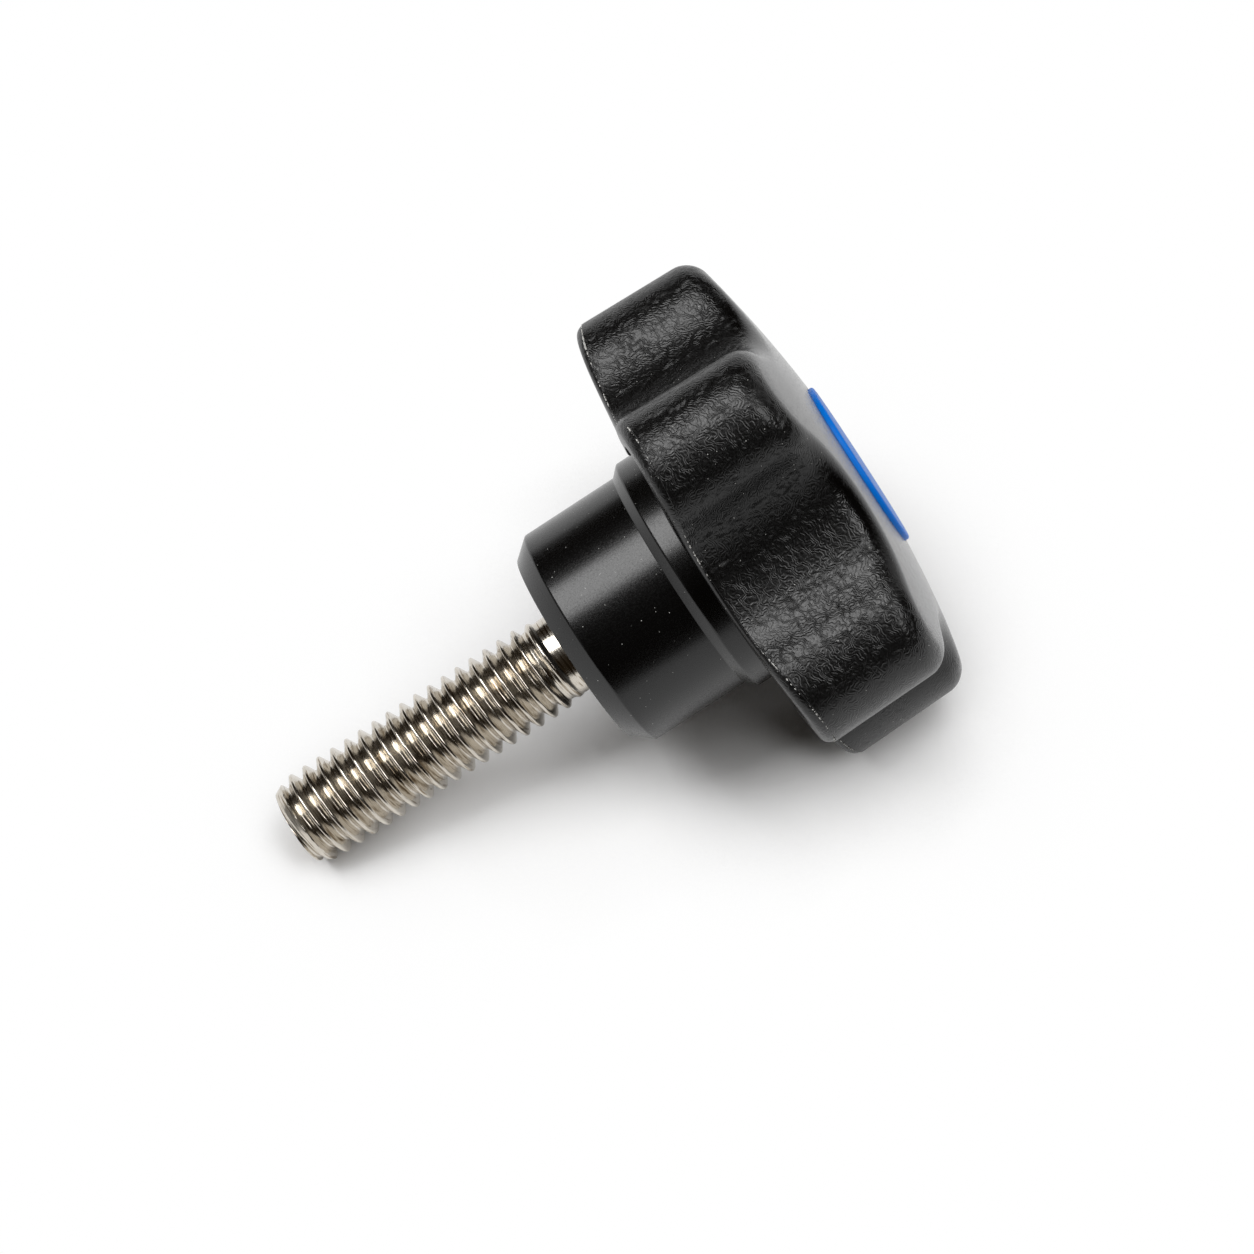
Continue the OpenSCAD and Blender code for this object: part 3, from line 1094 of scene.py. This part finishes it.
def into_bare_shank(tree, given, z, radius):
    calc = partial(math_node, tree)
    past = calc("ADD", z, given["Runout Start"])
    bare = calc("DIVIDE", past, given["Runout Length"], clamp=True)
    threaded = calc("MULTIPLY", radius, calc("SUBTRACT", 1.0, bare))
    return calc("ADD", threaded, calc("MULTIPLY", given["Shank Radius"], bare))


def thread_tree(material, values):
    kinds = {name: "Int" if isinstance(value, int) else "Float" for name, value in values.items()}
    tree, given, end = new_tree("threaded_stud", kinds, has_mesh=False)
    calc, add, link = partial(math_node, tree), tree.nodes.new, tree.links.new
    blank = add("GeometryNodeMeshCylinder")
    blank.inputs["Radius"].default_value = 1.0
    total = calc("ADD", given["Length"], given["Buried Length"])
    link(given["Sides"], blank.inputs["Vertices"])
    link(given["Rings"], blank.inputs["Side Segments"])
    link(total, blank.inputs["Depth"])

    x, y, middle_z = parts_of(tree, add("GeometryNodeInputPosition").outputs[0])
    half = calc("MULTIPLY", total, 0.5)
    z = calc("ADD", middle_z, calc("SUBTRACT", half, given["Length"]))
    radius = groove_radius(tree, given, x, y, z)
    for rule in (root_and_crest, under_tip_cone, into_bare_shank):
        radius = rule(tree, given, z, radius)

    # The blank has a radius of one, so each point is scaled by the radius that it should have
    across, up = calc("MULTIPLY", x, radius), calc("MULTIPLY", y, radius)
    moved = add("GeometryNodeSetPosition")
    link(blank.outputs["Mesh"], moved.inputs["Geometry"])
    link(vector_of(tree, X=across, Y=up, Z=z), moved.inputs["Position"])
    end_tree(tree, moved.outputs[0], material, end)
    return tree


print("rules at the ends: root_and_crest, under_tip_cone, into_bare_shank")

# %% [markdown]
# Now the stud itself, with the sizes of a coarse M6 thread. It goes on below the hub's face
# down to the tip, and above it as a bare shank as far as the hexagon inside the plastic.

# %% The threaded stud
THREAD_R = 2.9
THREAD_DEPTH = 0.62 * PITCH
STUD_L = 20.0
TIP_R = 2.4
TIP_L = 1.0
SHANK_GAP = 0.8  # the bare shank that shows below the hub's face
RUNOUT = 1.6
RINGS_PER_PITCH = 28

stud_values = {
    "Length": STUD_L,
    "Pitch": PITCH,
    "Crest Radius": THREAD_R,
    "Root Radius": THREAD_R - THREAD_DEPTH,
    "Shank Radius": SHANK_R,
    "Bare Length": 0.6,
    "Fade Length": 2.4,
    "Runout Start": SHANK_GAP + RUNOUT,
    "Runout Length": RUNOUT,
    "Tip Radius": TIP_R,
    "Tip Length": TIP_L,
    "Buried Length": ANCHOR_Z,
    "Sides": SHANK_STEPS,
    "Rings": int((STUD_L + ANCHOR_Z) / PITCH * RINGS_PER_PITCH),
    "Phase": 0.5,
    "Unevenness": 0.07,
}
stud = as_object("threaded_stud", [], [])
hang_tree(stud, thread_tree(steel, stud_values), stud_values)
apply_modifiers(stud)
face_outwards(stud)

# %% [markdown]
# The hexagon that holds the stud in the plastic is hidden, but the piece is made whole, so it
# is joined on with the same boolean. It starts a hair inside the shank, so that the two share
# no face. The flanks of the thread are steep, so only its sharpest edges stay sharp.

# %% The stud's hexagon
HAIR = 0.001
STUD_SHARP_DEGREES = 50
anchor = prism("anchor", hexagon, ANCHOR_Z - HAIR, ANCHOR_Z + ANCHOR_H)
face_outwards(anchor)
combine(stud, anchor, "UNION")
lay_piece(stud, "stud", steel, sharp=STUD_SHARP_DEGREES)

# %% [markdown]
# The cap is a small turned shape: a disc with a softly rounded edge and a skirt that grips the
# core hole. A section spun round the axis is the natural way to make it. How far it stands
# proud of the rim was read from the width of the blue strip that the photo shows.

# %% The cap
CAP_R = 5.35
CAP_PROUD = 0.32
CAP_EDGE = 0.16
SKIRT_R = 3.7
SKIRT_WALL = 0.9
SKIRT_H = 2.6
SKIRT_EDGE = 0.1
CAP_STEPS = 160


def turned_piece(name, section, steps):
    points = [(0, 0, section[0].y)]
    angles = blend(0, 2 * math.pi, steps)
    for p in section[1:-1]:
        points += [(p.x * math.cos(a), p.x * math.sin(a), p.y) for a in angles]
    points.append((0, 0, section[-1].y))
    last = len(points) - 1
    rows = len(section) - 2
    after = [(j + 1) % steps for j in range(steps)]
    faces = [(0, 1 + after[j], 1 + j) for j in range(steps)]
    for i in range(rows - 1):
        a, b = 1 + i * steps, 1 + (i + 1) * steps
        faces += [(a + j, a + after[j], b + after[j], b + j) for j in range(steps)]
    top = 1 + (rows - 1) * steps
    faces += [(top + j, top + after[j], last) for j in range(steps)]
    return as_object(name, points, faces)


cap_z = rim_z + CAP_PROUD
cap_section = rounded(
    [
        (0, seat_z),
        (SKIRT_R - SKIRT_WALL, seat_z),
        (SKIRT_R - SKIRT_WALL, seat_z - SKIRT_H),
        (SKIRT_R, seat_z - SKIRT_H),
        (SKIRT_R, seat_z),
        (CAP_R, seat_z),
        (CAP_R, cap_z),
        (0, cap_z),
    ],
    [SKIRT_EDGE] * 4 + [SHARP_R, CAP_EDGE],
)
cap = turned_piece("blue_cap", cap_section, CAP_STEPS)
face_outwards(cap)
lay_piece(cap, "cap", blue)

# %% [markdown]
# The photograph looks down at the screw from about sixty degrees, past its left side, through
# a long lens. The camera is placed by that viewing angle and by the point that it looks at, so
# that it can be read and changed more easily than a bare matrix.

# %% Camera
CAMERA_AZIMUTH = math.radians(-26.864)
CAMERA_ELEVATION = math.radians(60.033)
CAMERA_DISTANCE = 0.254
CAMERA_TARGET = Vector((0.00249, 0.00041, 0.00827))
CAMERA_CLIP = 0.01
SENSOR_MM = 36.0
FOCAL_IN_FRAMES = 3.355

forward = Vector(
    (
        -math.sin(CAMERA_AZIMUTH) * math.cos(CAMERA_ELEVATION),
        math.cos(CAMERA_AZIMUTH) * math.cos(CAMERA_ELEVATION),
        -math.sin(CAMERA_ELEVATION),
    )
)
lens = bpy.data.cameras.new("camera")
lens.sensor_width = SENSOR_MM
lens.lens = SENSOR_MM * FOCAL_IN_FRAMES
lens.clip_start = CAMERA_CLIP
camera = bpy.data.objects.new("camera", lens)
camera.location = CAMERA_TARGET - CAMERA_DISTANCE * forward
camera.rotation_euler = forward.to_track_quat("-Z", "Y").to_euler()
bpy.context.scene.collection.objects.link(camera)
bpy.context.scene.camera = camera
print("focal length, mm:", round(lens.lens, 2))

# %% [markdown]
# The table in a product picture is burnt out to pure white, with only a soft shadow close to
# the object. More light would burn the object out too, so the floor does it itself: where a
# point sees the open sky it glows white to the camera and in reflections, and where the screw
# hides the sky, which Ambient Occlusion measures, the plain lit floor shows with its shadow.

# %% Floor
FLOOR = 1.2
FLOOR_COLOUR = (0.93, 0.93, 0.93, 1)
FLOOR_ROUGH = 0.9
FLOOR_SPECULAR = 0.2
SHADE_REACH = 0.014
SHADE_FULL = 0.45
SHADE_NONE = 0.93
SHADE_SAMPLES = 8


def white_floor():
    material, tree, shader = new_material("white_floor")
    shader.inputs["Base Color"].default_value = FLOOR_COLOUR
    shader.inputs["Roughness"].default_value = FLOOR_ROUGH
    shader.inputs["Specular IOR Level"].default_value = FLOOR_SPECULAR
    open_sky = tree.nodes.new("ShaderNodeAmbientOcclusion")
    open_sky.samples = SHADE_SAMPLES
    open_sky.inputs["Distance"].default_value = SHADE_REACH
    paper = map_range(tree, open_sky.outputs["AO"], SHADE_FULL, SHADE_NONE)
    path = tree.nodes.new("ShaderNodeLightPath")
    seen = path.outputs["Is Camera Ray"]
    for ray in ("Is Glossy Ray", "Is Transmission Ray"):
        seen = math_node(tree, "MAXIMUM", seen, path.outputs[ray])
    white = tree.nodes.new("ShaderNodeEmission")
    either = tree.nodes.new("ShaderNodeMixShader")
    tree.links.new(math_node(tree, "MULTIPLY", seen, paper), either.inputs["Fac"])
    tree.links.new(shader.outputs[0], either.inputs[1])
    tree.links.new(white.outputs[0], either.inputs[2])
    tree.links.new(either.outputs[0], tree.nodes["Material Output"].inputs["Surface"])
    return material


floor_corners = [(-FLOOR, -FLOOR, 0), (FLOOR, -FLOOR, 0), (FLOOR, FLOOR, 0), (-FLOOR, FLOOR, 0)]
floor = as_object("floor", floor_corners, [(0, 1, 2, 3)])
floor.data.materials.append(white_floor())
print("floor, m across:", 2 * FLOOR)

# %% [markdown]
# Four soft lamps, as in a product picture: a key above and behind the screw, one overhead on
# the other side, and two faint ones near the floor that draw the long thin lights on the hub.
# Each is a rectangle that faces the screw, with its long side along the screw's axis. Their
# brightness is given as radiance, which stays the same when a lamp's size is changed.

# %% Lamps
LAMP_DISTANCE = 0.6
LAMPS = (  # name, direction, size along the axis, size across it, radiance
    ("key_softbox", (-0.40, 0.274, 0.877), 0.28, 0.36, 6.6),
    ("overhead_softbox", (0.2, -0.3, 0.93), 0.22, 0.5, 4.5),
    ("left_softbox", (-0.9, 0.1, 0.4), 0.4, 0.8, 0.2),
    ("low_right_softbox", (0.9, 0.3, 0.3), 0.25, 0.8, 0.6),
)


def soft_lamp(name, direction, along, across, radiance):
    light = bpy.data.lights.new(name, "AREA")
    light.shape = "RECTANGLE"
    light.size = across
    light.size_y = along
    light.energy = radiance * math.pi * across * along
    lamp = bpy.data.objects.new(name, light)
    towards = Vector(direction).normalized()
    y_axis = (axis - axis.dot(towards) * towards).normalized()
    x_axis = y_axis.cross(towards)
    lamp.matrix_world = Matrix((x_axis, y_axis, towards)).transposed().to_4x4()
    lamp.location = towards * LAMP_DISTANCE
    bpy.context.scene.collection.objects.link(lamp)
    print(name, "watts:", round(light.energy, 3))


for lamp_sizes in LAMPS:
    soft_lamp(*lamp_sizes)

# %% [markdown]
# The rest of the room is nearly dark, which is what gives the metal and the black plastic
# their dark bands. A trace of warm light keeps the deepest shadows from going dead black.

# %% World
WORLD_COLOUR = (1.0, 0.7, 0.4, 1)
WORLD_STRENGTH = 0.02
world = bpy.data.worlds.new("studio")
world.use_nodes = True
background = world.node_tree.nodes["Background"]
background.inputs["Color"].default_value = WORLD_COLOUR
background.inputs["Strength"].default_value = WORLD_STRENGTH
bpy.context.scene.world = world
bpy.context.scene.view_settings.view_transform = "Standard"
print("world strength:", WORLD_STRENGTH)
